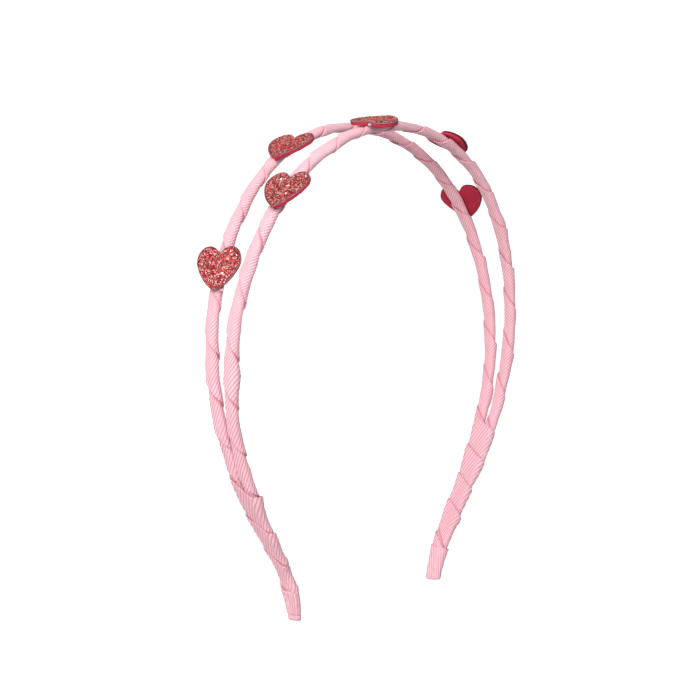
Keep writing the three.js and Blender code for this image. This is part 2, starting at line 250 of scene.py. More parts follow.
def wound_ribbon(name, strand, size_at, span, turns_at, free_to, rib, swell_at, pressed, material):
    """Ribbon wound round a strand. Columns follow its ribs, rows go from the free edge to the tucked one."""
    mean_girth = float(np.mean(girth(size_at(np.linspace(*span, 20)))))
    mean_pitch = float((span[1] - span[0]) / (turns_at(span[1]) - turns_at(span[0])))
    edge_angle = math.atan2(mean_girth, mean_pitch)
    fine = np.linspace(*span, 2000)
    slants = np.radians(np.interp(fine, *rib["slant_deg"]))
    rib_step = np.interp(fine, *rib["spacing"]) / np.sin(edge_angle + slants) * math.cos(edge_angle)
    ribs = np.append(0, np.cumsum(np.diff(fine) / rib_step[1:]))
    t = np.linspace(0, ribs[-1], int(ribs[-1] * RIBBON["samples"]) + 1)[:, None]
    edge = np.interp(t, ribs, fine)
    slant = np.interp(edge, fine, slants)
    turn_reach = mean_pitch / 2
    pitch = 2 * turn_reach / (turns_at(edge + turn_reach) - turns_at(edge - turn_reach))
    reach = 1 / (np.cos(slant) / pitch + np.sin(slant) / mean_girth)
    lead, wrap = reach * np.cos(slant), reach * np.sin(slant) / mean_girth
    end = 1 + RIBBON["overlap"]
    near_end = end - RIBBON_ROWS["edge"]
    outer = np.array([*RIBBON_ROWS["outer"], near_end, end])[None, :]
    inner = np.array([near_end, *RIBBON_ROWS["inner"]])[None, :]
    wander = FREE_EDGE["wander"] * np.sin(0.093 * t + 2.1) + FREE_EDGE["small_wander"] * np.sin(0.231 * t)
    loose = FREE_EDGE["loose"] * (1 + np.sin(0.171 * t + 0.7) * np.sin(0.067 * t + 1.9))
    cord = np.abs(np.cos(np.pi * t)) - RIB_LEVEL

    def layer(across, ribbed, under):
        moved = across + wander * np.clip(1 - across / FREE_EDGE["wander_over"], 0, 1)
        distance = edge - free_to * lead * moved
        past_tip = np.clip(np.abs(distance) - TIP_TUCK["from"], 0, None)
        distance = distance - np.sign(distance) * past_tip * TIP_TUCK["by"]
        turns = turns_at(edge) + free_to * wrap * moved
        raised = RIBBON["step"] * (1 - across) + loose * np.exp(-across / FREE_EDGE["loose_over"])
        fade = np.clip(across / RIBBON_ROWS["plain"], 0, 1)
        fade = fade * np.clip((end - across) / RIBBON_ROWS["plain"], 0, 1)
        flat = np.interp(distance, *pressed)
        raised = raised + ribbed * rib["height"] * (1 - RIBBON["pressed_by"] * flat) * cord * fade
        raised = raised - under * RIBBON["thickness"] + swell_at(distance, turns)
        place = strand_frame(strand, distance)
        uv = np.stack([t + 0 * across, (across + 0 * t) * RIBBON["width"]], -1)
        return section_point(place, size_at(distance), turns, raised), uv, np.stack([flat, 0 * flat], -1)

    under = np.zeros(outer.shape)
    under[0, [0, 1, -1]] = RIBBON_ROWS["rounded"]
    sides = zip(layer(outer, 1.0, under), layer(inner, 0.0, 1.0))
    rings, uvs, flats = (np.concatenate(pair, 1) for pair in sides)
    if free_to > 0:
        rings, uvs, flats = rings[:, ::-1], uvs[:, ::-1], flats[:, ::-1]
    piece = ring_tube(name, laid(rings), {"weave": uvs, "pressed": flats}, material)
    length = (span[1] - span[0]) / math.cos(edge_angle) / 1000
    return piece, length


def node_tree(name):
    """New material with a plain shader on its surface."""
    material = bpy.data.materials.new(name)
    material.use_nodes = True
    tree = material.node_tree
    tree.nodes.clear()
    shader = tree.nodes.new("ShaderNodeBsdfPrincipled")
    output = tree.nodes.new("ShaderNodeOutputMaterial")
    tree.links.new(shader.outputs["BSDF"], output.inputs["Surface"])
    return material, tree, shader


def math_node(tree, operation, first, second=None):
    """One Math node with numbers or sockets as its inputs, returning its output."""
    node = tree.nodes.new("ShaderNodeMath")
    node.operation = operation
    for socket, value in zip(node.inputs, (first, second)):
        if isinstance(value, (int, float)):
            socket.default_value = value
        elif value is not None:
            tree.links.new(value, socket)
    return node.outputs[0]


def mix_colour(tree, factor, first, second):
    """One colour mix whose ends are colours or sockets, returning its output."""
    node = tree.nodes.new("ShaderNodeMix")
    node.data_type = "RGBA"
    tree.links.new(factor, node.inputs["Factor"])
    for socket, value in ((node.inputs[6], first), (node.inputs[7], second)):
        if isinstance(value, tuple):
            socket.default_value = (*value, 1)
        else:
            tree.links.new(value, socket)
    return node.outputs[2]


def fibre_group():
    """Uneven dye and stray fibres that cloth shows: a slow tint and a fine speckle, both from 0 to 1."""
    group = bpy.data.node_groups.new("cloth_fibres", "ShaderNodeTree")
    group.interface.new_socket(name="Fibre Scale", in_out="INPUT", socket_type="NodeSocketFloat")
    group.interface.new_socket(name="Tint Scale", in_out="INPUT", socket_type="NodeSocketFloat")
    group.interface.new_socket(name="Speckle", in_out="OUTPUT", socket_type="NodeSocketFloat")
    group.interface.new_socket(name="Tint", in_out="OUTPUT", socket_type="NodeSocketFloat")
    enter = group.nodes.new("NodeGroupInput")
    leave = group.nodes.new("NodeGroupOutput")
    place = group.nodes.new("ShaderNodeTexCoord")
    for scale, result, detail in (("Fibre Scale", "Speckle", 4.0), ("Tint Scale", "Tint", 1.0)):
        texture = group.nodes.new("ShaderNodeTexNoise")
        texture.inputs["Detail"].default_value = detail
        group.links.new(place.outputs["Object"], texture.inputs["Vector"])
        group.links.new(enter.outputs[scale], texture.inputs["Scale"])
        group.links.new(texture.outputs["Fac"], leave.inputs[result])
    return group


def place_fibres(tree, fibre_scale, tint_scale):
    """The shared fibre group, set in one material at its own scales."""
    node = tree.nodes.new("ShaderNodeGroup")
    node.node_tree = CLOTH_FIBRES
    node.inputs["Fibre Scale"].default_value = fibre_scale
    node.inputs["Tint Scale"].default_value = tint_scale
    return node


def uneven_gloss(tree, shader, fibres, least, spread):
    """Roughness that varies with the fine speckle."""
    varied = math_node(tree, "MULTIPLY", fibres.outputs["Speckle"], spread)
    tree.links.new(math_node(tree, "ADD", varied, least), shader.inputs["Roughness"])


def fine_relief(tree, shader, height, strength, depth):
    """Relief too fine for the mesh, from a height and its depth in metres."""
    bump = tree.nodes.new("ShaderNodeBump")
    bump.inputs["Strength"].default_value = strength
    bump.inputs["Distance"].default_value = depth
    tree.links.new(height, bump.inputs["Height"])
    tree.links.new(bump.outputs["Normal"], shader.inputs["Normal"])


def ribbon_material():
    """Grosgrain: pale cords with painted shade between them, fine warp threads, and painted shade beside each
    overlap.
    """
    material, tree, shader = node_tree("pink_grosgrain")
    weave = tree.nodes.new("ShaderNodeUVMap")
    weave.uv_map = "weave"
    split = tree.nodes.new("ShaderNodeSeparateXYZ")
    tree.links.new(weave.outputs["UV"], split.inputs["Vector"])
    along, across = split.outputs["X"], split.outputs["Y"]
    cord = math_node(tree, "ABSOLUTE", math_node(tree, "COSINE", math_node(tree, "MULTIPLY", along, math.pi)))
    # Painted shade between the cords, strongest midway from one cord to the next.
    painted_valley_shade = math_node(tree, "POWER", math_node(tree, "SUBTRACT", 1.0, cord), 1.1)
    pressed = tree.nodes.new("ShaderNodeUVMap")
    pressed.uv_map = "pressed"
    flat = tree.nodes.new("ShaderNodeSeparateXYZ")
    tree.links.new(pressed.outputs["UV"], flat.inputs["Vector"])
    lost = math_node(tree, "MULTIPLY", flat.outputs["X"], RIBBON["pressed_by"])
    clear = math_node(tree, "SUBTRACT", 1.0, lost)
    shift = math_node(tree, "MULTIPLY", math_node(tree, "ROUND", along), math.pi)
    threads = math_node(tree, "MULTIPLY", across, RIBBON_FINISH["warp_per_mm"])
    warp = math_node(tree, "SINE", math_node(tree, "ADD", threads, shift))
    fibres = place_fibres(tree, RIBBON_FINISH["fibre_scale"], RIBBON_FINISH["tint_scale"])
    tinted = mix_colour(tree, fibres.outputs["Tint"], RIBBON_DYE_AND_SHADE["deep"], RIBBON_DYE_AND_SHADE["pale"])
    nap = math_node(tree, "MULTIPLY", fibres.outputs["Speckle"], RIBBON_FINISH["nap"])
    specked = mix_colour(tree, nap, tinted, RIBBON_DYE_AND_SHADE["nap"])
    # The painted shade between the cords is weaker where the ribbon is pressed flat.
    between = math_node(tree, "MULTIPLY", math_node(tree, "MULTIPLY", painted_valley_shade, RIBBON_FINISH["painted_valley_shade"]), clear)
    corded = mix_colour(tree, between, specked, RIBBON_DYE_AND_SHADE["painted_valley_shade"])
    # Painted shade beside each overlapping edge, patchy along its length, in the colour of the shade between
    # the cords.
    beside = math_node(tree, "ABSOLUTE", math_node(tree, "SUBTRACT", across, OVERLAP_PAINTED_SHADE["across"]))
    line = math_node(tree, "SUBTRACT", 1.0, math_node(tree, "DIVIDE", beside, OVERLAP_PAINTED_SHADE["half"]))
    patchy = math_node(tree, "MULTIPLY", fibres.outputs["Tint"], OVERLAP_PAINTED_SHADE["strength"])
    shade = math_node(tree, "MULTIPLY", math_node(tree, "MAXIMUM", line, 0.0), patchy)
    tree.links.new(mix_colour(tree, shade, corded, RIBBON_DYE_AND_SHADE["painted_valley_shade"]), shader.inputs["Base Color"])
    fine = math_node(tree, "ADD", math_node(tree, "MULTIPLY", warp, 0.3), fibres.outputs["Speckle"])
    fine_relief(tree, shader, fine, strength=0.35, depth=0.00006)
    uneven_gloss(tree, shader, fibres, least=0.55, spread=0.2)
    shader.inputs["Sheen Weight"].default_value = 0.32
    shader.inputs["Sheen Roughness"].default_value = 0.4
    shader.inputs["Specular IOR Level"].default_value = 0.3
    return material


def puckered(puckers, distance, turns):
    """How far wound ribbon stands off: slow unevenness all along, and puckers where it was pinched."""
    swell = UNEVEN["slow"] * np.sin(0.41 * distance + 9 * turns)
    swell = swell + UNEVEN["quick"] * np.sin(0.97 * distance - 5 * turns + 1)
    for pucker in puckers:
        along = (distance - pucker["at"]) / pucker["over"]
        around = (np.mod(turns - pucker["turn"] + 0.5, 1) - 0.5) / UNEVEN["pucker_around"]
        swell = swell + pucker["by"] * np.exp(-along ** 2 - around ** 2)
    return swell


def band_tuck(distance):
    """How far a band's ribbon is pressed in near both ends and under their windings."""
    near = np.clip((np.abs(distance) - SQUEEZE["from"]) / SQUEEZE["over"], 0, 1)
    into = np.clip((np.abs(distance) - BAND_TUCK["from"]) / BAND_TUCK["over"], 0, 1)
    return SQUEEZE["by"] * near + BAND_TUCK["depth"] * into * into * (3 - 2 * into)


CLOTH_FIBRES = fibre_group()
GROSGRAIN = ribbon_material()
for wind in BAND_WINDS:
    turns_at = turns_through(
        wind["crossings"], lambda places: np.interp(places, FACING_US["distance"], FACING_US["turn"]))
    ribbon, ribbon_length = wound_ribbon(
        f"{wind['strand']}_band_ribbon", wind["strand"], lambda distance: BAND,
        (-BAND_TUCK["end"], BAND_TUCK["end"]), turns_at, FREE_EDGE["to"], BAND_RIB,
        lambda distance, turns: puckered(wind["puckers"], distance, turns) - band_tuck(distance),
        BAND_PRESSED, GROSGRAIN)
    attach(ribbon, "root")
    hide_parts(f"{wind['strand']}_band")

# End windings. Below the fork both strips run side by side and are bound with turns of the same ribbon, wound
# from the fork down to the tip, so each turn's upper edge lies over the turn above it.
END_RIB = {
    "height": 0.2,
    "spacing": ((-185.0, 185.0), (0.95, 0.95)),
    "slant_deg": ((-185.0, 185.0), (25.0, 25.0)),
}
END_WINDS = [
    {
        "name": "left", "end": -1, "span": (-175.5, -131.0),
        "crossings": [-163.5, -151.0, -137.5], "turn": 0.05, "pressed": ((-185.0, -130.0), (0.25, 0.15)),
        "puckers": [
            {"at": -141.5, "turn": 0.82, "over": 1.7, "by": 0.65},
            {"at": -165.0, "turn": 0.84, "over": 1.8, "by": 0.6},
            {"at": -173.5, "turn": 0.84, "over": 2.0, "by": 0.6},
        ],
        "sizes": [
            {"from_tip": 56.0, "width": 8.0, "thickness": 2.5, "corner": 1.2},
            {"from_tip": 42.0, "width": 7.75, "thickness": 2.4, "corner": 1.15},
            {"from_tip": 37.0, "width": 7.2, "thickness": 2.0, "corner": 0.95},
            {"from_tip": 30.0, "width": 7.05, "thickness": 2.0, "corner": 0.95},
            {"from_tip": 22.0, "width": 5.55, "thickness": 2.0, "corner": 0.95},
            {"from_tip": 17.0, "width": 4.4, "thickness": 2.0, "corner": 0.95},
            {"from_tip": 10.0, "width": 5.2, "thickness": 2.0, "corner": 0.95},
            {"from_tip": 0.0, "width": 3.0, "thickness": 1.2, "corner": 0.55},
        ],
    },
    {
        "name": "right", "end": 1, "span": (124.5, 173.5),
        "crossings": [128.5, 139.5, 149.5, 158.5, 171.5], "turn": 0.68,
        "pressed": ((130.0, 185.0), (0.25, 0.2)),
        "puckers": [
            {"at": 139.0, "turn": 0.55, "over": 2.0, "by": 0.4},
            {"at": 162.5, "turn": 0.9, "over": 1.8, "by": 0.35},
        ],
        "sizes": [
            {"from_tip": 60.0, "width": 8.9, "thickness": 2.7, "corner": 1.3},
            {"from_tip": 54.0, "width": 8.5, "thickness": 2.6, "corner": 1.25},
            {"from_tip": 48.0, "width": 8.1, "thickness": 2.5, "corner": 1.2},
            {"from_tip": 42.0, "width": 8.0, "thickness": 2.4, "corner": 1.15},
            {"from_tip": 40.0, "width": 7.5, "thickness": 2.2, "corner": 1.05},
            {"from_tip": 36.0, "width": 6.6, "thickness": 2.0, "corner": 0.95},
            {"from_tip": 22.0, "width": 6.3, "thickness": 2.0, "corner": 0.95},
            {"from_tip": 12.0, "width": 5.3, "thickness": 1.9, "corner": 0.9},
            {"from_tip": 0.0, "width": 4.0, "thickness": 1.2, "corner": 0.55},
        ],
    },
]


def size_between(table, distance):
    """Section of a shared end at distances from the crown, between the rows of a table."""
    from_tip = HALF_ARCH - np.abs(distance)
    rows = table[::-1]
    tips = [row["from_tip"] for row in rows]
    keys = ("width", "thickness", "corner")
    return {key: np.interp(from_tip, tips, [row[key] for row in rows]) for key in keys}


for wind in END_WINDS:
    ribbon, ribbon_length = wound_ribbon(
        f"{wind['name']}_end_ribbon", "ends", lambda distance: size_between(wind["sizes"], distance),
        wind["span"], turns_through(wind["crossings"], lambda places: wind["turn"]), -wind["end"], END_RIB,
        lambda distance, turns: puckered(wind["puckers"], distance, turns), wind["pressed"], GROSGRAIN)
    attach(ribbon, "root")
    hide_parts(f"{wind['name']}_end_winding")

# Tip caps. The last turn of ribbon is folded over each tip with its ribs along the band, and its raw end is
# hemmed under, which leaves a shallow crease near the tip.
CAP_RIB = {"count": 15, "height": 0.2, "samples": 6, "weave_per_mm": 0.8}
CAP_EDGE = {"ruffle": 0.012, "fine_ruffle": 0.01, "wavy": 0.006, "top": 0.85, "foot": 0.5, "hem": (0.1, 0.25)}
CAP_ENDS = [
    {
        "name": "left", "end": -1, "twist": 0.0, "short": 0.03, "slope": 0.05, "hem": 1.0, "pressed": 0.35,
        "sizes": [
            {"from_tip": 10.0, "width": 6.3, "thickness": 2.5, "corner": 1.2},
            {"from_tip": 7.0, "width": 5.9, "thickness": 2.4, "corner": 1.15},
            {"from_tip": 1.0, "width": 4.3, "thickness": 2.2, "corner": 1.05},
            {"from_tip": 0.0, "width": 4.0, "thickness": 2.1, "corner": 1.0},
        ],
    },
    {
        "name": "right", "end": 1, "twist": -0.25, "short": 0.13, "slope": 0.03, "hem": 0.2, "pressed": 0.3,
        "sizes": [
            {"from_tip": 12.0, "width": 6.7, "thickness": 2.6, "corner": 1.25},
            {"from_tip": 8.0, "width": 5.8, "thickness": 2.4, "corner": 1.15},
            {"from_tip": 1.0, "width": 5.3, "thickness": 2.2, "corner": 1.05},
            {"from_tip": 0.0, "width": 5.1, "thickness": 2.1, "corner": 1.0},
        ],
    },
]
CAP_PROFILE = [
    {"share": 0.06, "raised": -0.36, "ribbed": 0.0},
    {"share": 0.35, "raised": -0.35, "ribbed": 0.0},
    {"share": 0.65, "raised": -0.35, "ribbed": 0.0},
    {"share": 0.92, "raised": -0.34, "ribbed": 0.0},
    {"share": 1.0, "raised": -0.3, "ribbed": 0.2},
    {"share": 1.03, "raised": -0.16, "ribbed": 0.5},
    {"share": 1.02, "raised": 0.02, "ribbed": 0.8},
    {"share": 0.99, "raised": 0.05, "ribbed": 1.0},
    {"share": 0.9, "raised": 0.0, "ribbed": 1.0},
    {"share": 0.8, "raised": 0.03, "ribbed": 1.0},
    {"share": 0.7, "raised": 0.0, "ribbed": 1.0},
    {"share": 0.6, "raised": 0.03, "ribbed": 1.0},
    {"share": 0.5, "raised": 0.0, "ribbed": 1.0},
    {"share": 0.4, "raised": 0.03, "ribbed": 1.0},
    {"share": 0.3, "raised": 0.0, "ribbed": 1.0},
    {"share": 0.24, "raised": 0.0, "ribbed": 1.0},
    {"share": 0.215, "raised": -0.04, "ribbed": 0.8},
    {"share": 0.195, "raised": -0.28, "ribbed": 0.3},
    {"share": 0.175, "raised": 0.03, "ribbed": 0.8},
    {"share": 0.07, "raised": 0.06, "ribbed": 0.9},
    {"share": 0.015, "raised": 0.0, "ribbed": 0.8},
    {"share": 0.0, "raised": -0.25, "ribbed": 0.6},
    {"share": 0.01, "raised": -0.6, "ribbed": 0.2},
    {"share": 0.02, "raised": -0.95, "ribbed": 0.0},
]

for row in CAP_ENDS:
    length = row["sizes"][0]["from_tip"]
    around = CAP_RIB["count"] * CAP_RIB["samples"]
    turns = np.arange(around)[None, :] / around
    profile = {key: np.array([step[key] for step in CAP_PROFILE])[:, None] for key in CAP_PROFILE[0]}
    angle = 2 * np.pi * turns
    ruffle = CAP_EDGE["ruffle"] * np.sin(angle * 3 + row["end"]) + CAP_EDGE["fine_ruffle"] * np.sin(angle * 7)
    share = row["short"] + (1 - row["short"]) * profile["share"]
    share = share + ruffle * np.clip((profile["share"] - CAP_EDGE["top"]) / (1 - CAP_EDGE["top"]), 0, 1)
    slanted = row["slope"] * np.cos(angle) + CAP_EDGE["wavy"] * np.sin(angle * 5)
    share = np.maximum(share + slanted * np.clip(1 - profile["share"] / CAP_EDGE["foot"], 0, 1), 0)
    distance = row["end"] * (HALF_ARCH - share * length)
    cord = np.abs(np.cos(np.pi * CAP_RIB["count"] * turns)) - RIB_LEVEL
    at_hem = (profile["share"] > CAP_EDGE["hem"][0]) & (profile["share"] < CAP_EDGE["hem"][1])
    creased = np.where(at_hem, row["hem"], 1.0)
    raised = profile["raised"] * creased + CAP_RIB["height"] * profile["ribbed"] * cord
    size = size_between(row["sizes"], distance)
    rings = laid(section_point(strand_frame("ends", distance), size, turns + row["twist"] * share, raised))
    uvs = np.stack([turns * CAP_RIB["count"] + 0 * distance, share * length * CAP_RIB["weave_per_mm"]], -1)
    if row["end"] > 0:
        rings, uvs = rings[:, ::-1], uvs[:, ::-1]
    maps = {"weave": uvs, "pressed": 0 * uvs + row["pressed"]}
    cap = ring_tube(f"{row['name']}_cap_ribbon", rings, maps, GROSGRAIN)
    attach(cap, "root")
    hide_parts(f"{row['name']}_tip_cap")

# Felt hearts. Die-cut hearts of crimson felt, under a millimetre thick, stuck to the outside of the bands.
# Each sits a little askew, as it was pressed on by hand, and its cut edge is soft and slightly fuzzy.
HEART = {"width": 15.0, "height": 12.7, "lobe": 3.85, "side": 14.0, "points": 168, "ragged": 0.006}
FELT = {"thickness": 0.7, "pressed_in": 0.18, "round": 0.2, "uneven": 0.07, "nap": 0.3}
FELT_DYE = {"deep": (0.25, 0.004, 0.024), "pale": (0.63, 0.014, 0.055), "nap": (0.68, 0.055, 0.10)}
FUZZ = {
    "count": 260, "length": (0.2, 0.55), "radius": 0.022,
    "rooted": (0.1, 0.9), "sunk": 0.1, "spread": 0.55,
}
HEARTS = [
    {
        "strand": "back", "along": -75.5, "across": -1.1, "notch": 1,
        "spin": 2.6, "roll": 12.8, "pitch": -2.4, "lift": 1.525, "felt_scale": 0.93, "felt_slip": (0.0, 0.0),
    },
    {
        "strand": "back", "along": -33.2, "across": -2.3, "notch": 1,
        "spin": 5.0, "roll": 6.0, "pitch": -0.8, "lift": 1.307, "felt_scale": 1.0, "felt_slip": (0.0, 0.0),
    },
    {
        "strand": "back", "along": 53.0, "across": -0.6, "notch": -1,
        "spin": 3.7, "roll": -8.3, "pitch": -4.8, "lift": 2.043, "felt_scale": 0.98, "felt_slip": (0.0, 0.0),
    },
    {
        "strand": "front", "along": -51.3, "across": -1.5, "notch": 1,
        "spin": 7.6, "roll": 0.7, "pitch": 3.7, "lift": 1.622, "felt_scale": 1.0, "felt_slip": (0.0, 0.0),
    },
    {
        "strand": "front", "along": -11.6, "across": -2.0, "notch": -1,
        "spin": 9.1, "roll": 2.8, "pitch": -0.8, "lift": 1.58, "felt_scale": 0.98, "felt_slip": (0.0, 0.0),
    },
    {
        "strand": "front", "along": 25.5, "across": 2.6, "notch": -1,
        "spin": -11.6, "roll": 1.8, "pitch": 1.0, "lift": 1.748, "felt_scale": 0.985, "felt_slip": (0.4, 0.1),
    },
]


def heart_outline(shape):
    """Closed heart outline, counter-clockwise from the notch's right lobe to the point and back."""
    lobe = np.array([shape["width"] / 2 - shape["lobe"], shape["height"] / 2 - shape["lobe"]])
    point = np.array([0, -shape["height"] / 2])
    span = lobe - point
    inset = shape["side"] - shape["lobe"]
    reach = np.linalg.norm(span)
    bend = math.acos((reach ** 2 + inset ** 2 - shape["side"] ** 2) / (2 * inset * reach))
    meet = math.atan2(span[1], span[0]) - bend
    side = lobe - inset * np.array([math.cos(meet), math.sin(meet)])
    last = math.atan2(*(point - side)[::-1])
    start = math.pi - math.acos(lobe[0] / shape["lobe"])
    fine = np.linspace(0, 1, 400)[:, None]
    sweep = start + (meet - start) * fine
    lobe_arc = lobe + shape["lobe"] * np.hstack([np.cos(sweep), np.sin(sweep)])
    sweep = meet + (last - meet) * fine
    side_arc = side + shape["side"] * np.hstack([np.cos(sweep), np.sin(sweep)])
    right = np.vstack([lobe_arc, side_arc[1:]])
    path = np.vstack([right, (right * [-1, 1])[::-1][1:-1]])
    steps = np.append(0, np.cumsum(np.linalg.norm(np.diff(np.vstack([path, path[:1]]), axis=0), axis=1)))
    even = np.linspace(0, steps[-1], shape["points"], endpoint=False)
    looped = np.vstack([path, path[:1]])
    return np.stack([np.interp(even, steps, looped[:, 0]), np.interp(even, steps, looped[:, 1])], -1)[::-1]


def turned(vector, axis, degrees):
    """Vector turned about an axis."""
    return np.array(Matrix.Rotation(math.radians(degrees), 3, Vector(axis)) @ Vector(vector))


def heart_place(row):
    """Worn place of a heart's back with its directions right, up to the notch and out."""
    middle, along, across, out = (v[0] for v in strand_frame(row["strand"], np.array([row["along"]])))
    hinge = turned(across, along, row["roll"])
    facing = turned(turned(out, along, row["roll"]), hinge, row["pitch"])
    up = turned(turned(along * row["notch"], hinge, row["pitch"]), facing, row["spin"])
    return middle + across * row["across"] + facing * row["lift"], np.cross(up, facing), up, facing


def put_on(place, points):
    """Heart millimetres, right, up and out, to laid metres."""
    origin, right, up, facing = place
    points = np.asarray(points, float)
    return laid(origin + points[..., :1] * right + points[..., 1:2] * up + points[..., 2:3] * facing)


def heart_slab(name, number, shape, rows, uneven, cut, slip, material, edge_material=None):
    """Closed heart-shaped sheet from rows of scale and height, bottom middle first and top middle last."""
    outline = heart_outline(shape)
    count = len(outline)
    points = [(0.0, 0.0, rows[0][1])]
    for scale, height in rows[1:-1]:
        points += [(x * scale, y * scale, height) for x, y in outline]
    points.append((0.0, 0.0, rows[-1][1]))
    bumpy = []
    for x, y, z in points:
        spot = Vector((x * 0.9, y * 0.9, z * 0.9 + number * 7.3))
        rough = uneven * noise.noise(spot) + 0.5 * uneven * noise.noise(spot * 3.1)
        edge = 1 + shape["ragged"] * noise.noise(Vector((x * 1.7, y * 1.7, number * 3.7)))
        bumpy.append((x * edge * cut + slip[0], y * edge * cut + slip[1], z + rough))
    faces = [(0, 1 + (i + 1) % count, 1 + i) for i in range(count)]
    for ring in range(len(rows) - 3):
        low, high = 1 + ring * count, 1 + (ring + 1) * count
        faces += [(low + i, low + (i + 1) % count, high + (i + 1) % count, high + i) for i in range(count)]
    last, top = len(points) - 1, 1 + (len(rows) - 3) * count
    faces += [(last, top + i, top + (i + 1) % count) for i in range(count)]
    mesh = bpy.data.meshes.new(name)
    mesh.from_pydata(put_on(heart_place(HEARTS[number - 1]), bumpy).tolist(), [], faces)
    mesh.polygons.foreach_set("use_smooth", np.ones(len(mesh.polygons), bool))
    mesh.materials.append(material)
    if edge_material:
        mesh.materials.append(edge_material)
        scales = [row[0] for row in rows[1:-1]]
        at_edge = [min(pair) > 0.98 for pair in zip(scales, scales[1:])]
        mesh.polygons.foreach_set("material_index", np.repeat([0, *at_edge, 0], count).astype(np.int32))
    return piece_of(mesh)


def slab_rows(base, thickness, round_by, half_width):
    """Rows of scale and height for a sheet with rounded edges."""
    inner = [0.2, 0.4, 0.58, 0.74, 0.87]
    lip = 1 - round_by / half_width
    rows = [(0, base)] + [(scale, base) for scale in inner]
    rows += [(lip - 0.02, base), (lip, base + 0.03), (1 - 0.3 * (1 - lip), base + 0.3 * round_by)]
    rows += [(1, base + 0.5 * thickness), (1 - 0.3 * (1 - lip), base + thickness - 0.3 * round_by)]
    rows += [(lip, base + thickness - 0.03), (lip - 0.02, base + thickness)]
    return rows + [(scale, base + thickness) for scale in inner[::-1]] + [(0, base + thickness)]


def felt_material():
    """Felt: matted crimson fibres, lighter where they stand up."""
    material, tree, shader = node_tree("crimson_felt")
    fibres = place_fibres(tree, fibre_scale=3400.0, tint_scale=210.0)
    matted = mix_colour(tree, fibres.outputs["Tint"], FELT_DYE["deep"], FELT_DYE["pale"])
    nap = math_node(tree, "MULTIPLY", fibres.outputs["Speckle"], FELT["nap"])
    tree.links.new(mix_colour(tree, nap, matted, FELT_DYE["nap"]), shader.inputs["Base Color"])
    fine_relief(tree, shader, fibres.outputs["Speckle"], strength=0.8, depth=0.00012)
    shader.inputs["Roughness"].default_value = 0.95
    shader.inputs["Sheen Weight"].default_value = 0.15
    shader.inputs["Sheen Roughness"].default_value = 0.5
    shader.inputs["Sheen Tint"].default_value = (0.9, 0.3, 0.35, 1)
    return material


def felt_fuzz(name, number, material):
    """Short stray fibres standing off the cut edge of a felt heart, each a closed thin spike."""
    pick = np.random.default_rng(300 + number)
    outline = heart_outline(HEART) * HEARTS[number - 1]["felt_scale"] + HEARTS[number - 1]["felt_slip"]
    ahead = np.roll(outline, -1, axis=0) - np.roll(outline, 1, axis=0)
    outward = unit(np.stack([ahead[:, 1], -ahead[:, 0], 0 * ahead[:, 0]], -1))
    chosen = pick.integers(0, len(outline), FUZZ["count"])
    root_height = pick.uniform(*FUZZ["rooted"], FUZZ["count"]) * FELT["thickness"]
    root = np.column_stack([outline[chosen], root_height])
    root = root - outward[chosen] * FUZZ["sunk"]
    away = unit(outward[chosen] + pick.normal(0, FUZZ["spread"], (FUZZ["count"], 3)))
    tip = root + away * pick.uniform(*FUZZ["length"], FUZZ["count"])[:, None]
    side = unit(np.cross(away, pick.normal(0, 1, away.shape)))
    points = [tip]
    for turn in (0, 2 * np.pi / 3, 4 * np.pi / 3):
        points.append(root + FUZZ["radius"] * (side * math.cos(turn) + np.cross(away, side) * math.sin(turn)))
    points = put_on(heart_place(HEARTS[number - 1]), np.stack(points, 1).reshape(-1, 3))
    points[:, 2] = np.maximum(points[:, 2], 0)
    spike = [(0, 1, 2), (0, 2, 3), (0, 3, 1), (3, 2, 1)]
    faces = [[4 * k + corner for corner in face] for k in range(FUZZ["count"]) for face in spike]
    mesh = bpy.data.meshes.new(name)
    mesh.from_pydata(points.tolist(), [], faces)
    mesh.materials.append(material)
    return piece_of(mesh)


CRIMSON_FELT = felt_material()
for number in range(1, len(HEARTS) + 1):
    felt_depth = FELT["thickness"] + FELT["pressed_in"]
    rows = slab_rows(-FELT["pressed_in"], felt_depth, FELT["round"], HEART["height"] / 2)
    felt = heart_slab(f"heart_{number}_felt_layer", number, HEART, rows, FELT["uneven"],
                      HEARTS[number - 1]["felt_scale"], HEARTS[number - 1]["felt_slip"], CRIMSON_FELT)
    fuzz = felt_fuzz(f"heart_{number}_felt_fuzz", number, CRIMSON_FELT)
    for piece in (felt, fuzz):
        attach(piece, "root")
    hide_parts(f"heart_{number}_felt")

# Glitter sheets. A thin backing in dark red carries a crowded coat of small metallic flakes, each stuck down
# at its
# own angle: pink and red ones, pale ones as painted glints of flakes catching the light, and near-black ones
# as painted shade of flakes turned from it. The sheet is cut to the same heart and lies on the felt.
GLITTER = {"base": 0.8, "thickness": 0.26, "round": 0.07, "uneven": 0.03}
FLAKE = {
    "spacing": 0.35, "scatter": 0.45, "radius": 0.215, "thickness": 0.04, "lift": 0.1,
    "sizes": (0.7, 1.15), "stretch": (0.75, 1.35),
}
FLAKE_TILT = {"usual_deg": 34.0, "spread": 0.6, "most": 1.2}
FLAKE_RIM = {"last": 0.965, "small_from": 0.9, "small": 0.75}
FLAKE_TINT = {"deep": 0.72, "pale": 1.25, "whitened": 0.03}
# Flake colours and their shares. The first two are painted glints and the last is painted shade, on top of
# the flakes' real metallic reflections. Rose and red are the glitter's own colours.
FLAKE_SHADES = [
    {"shade": "painted_glint", "share": 0.11, "colour": (1.0, 0.77, 0.66)},
    {"shade": "painted_peach_glint", "share": 0.17, "colour": (0.97, 0.40, 0.33)},
    {"shade": "rose", "share": 0.20, "colour": (0.95, 0.14, 0.15)},
    {"shade": "red", "share": 0.32, "colour": (0.80, 0.045, 0.055)},
    {"shade": "painted_shade_garnet", "share": 0.20, "colour": (0.24, 0.008, 0.020)},
]


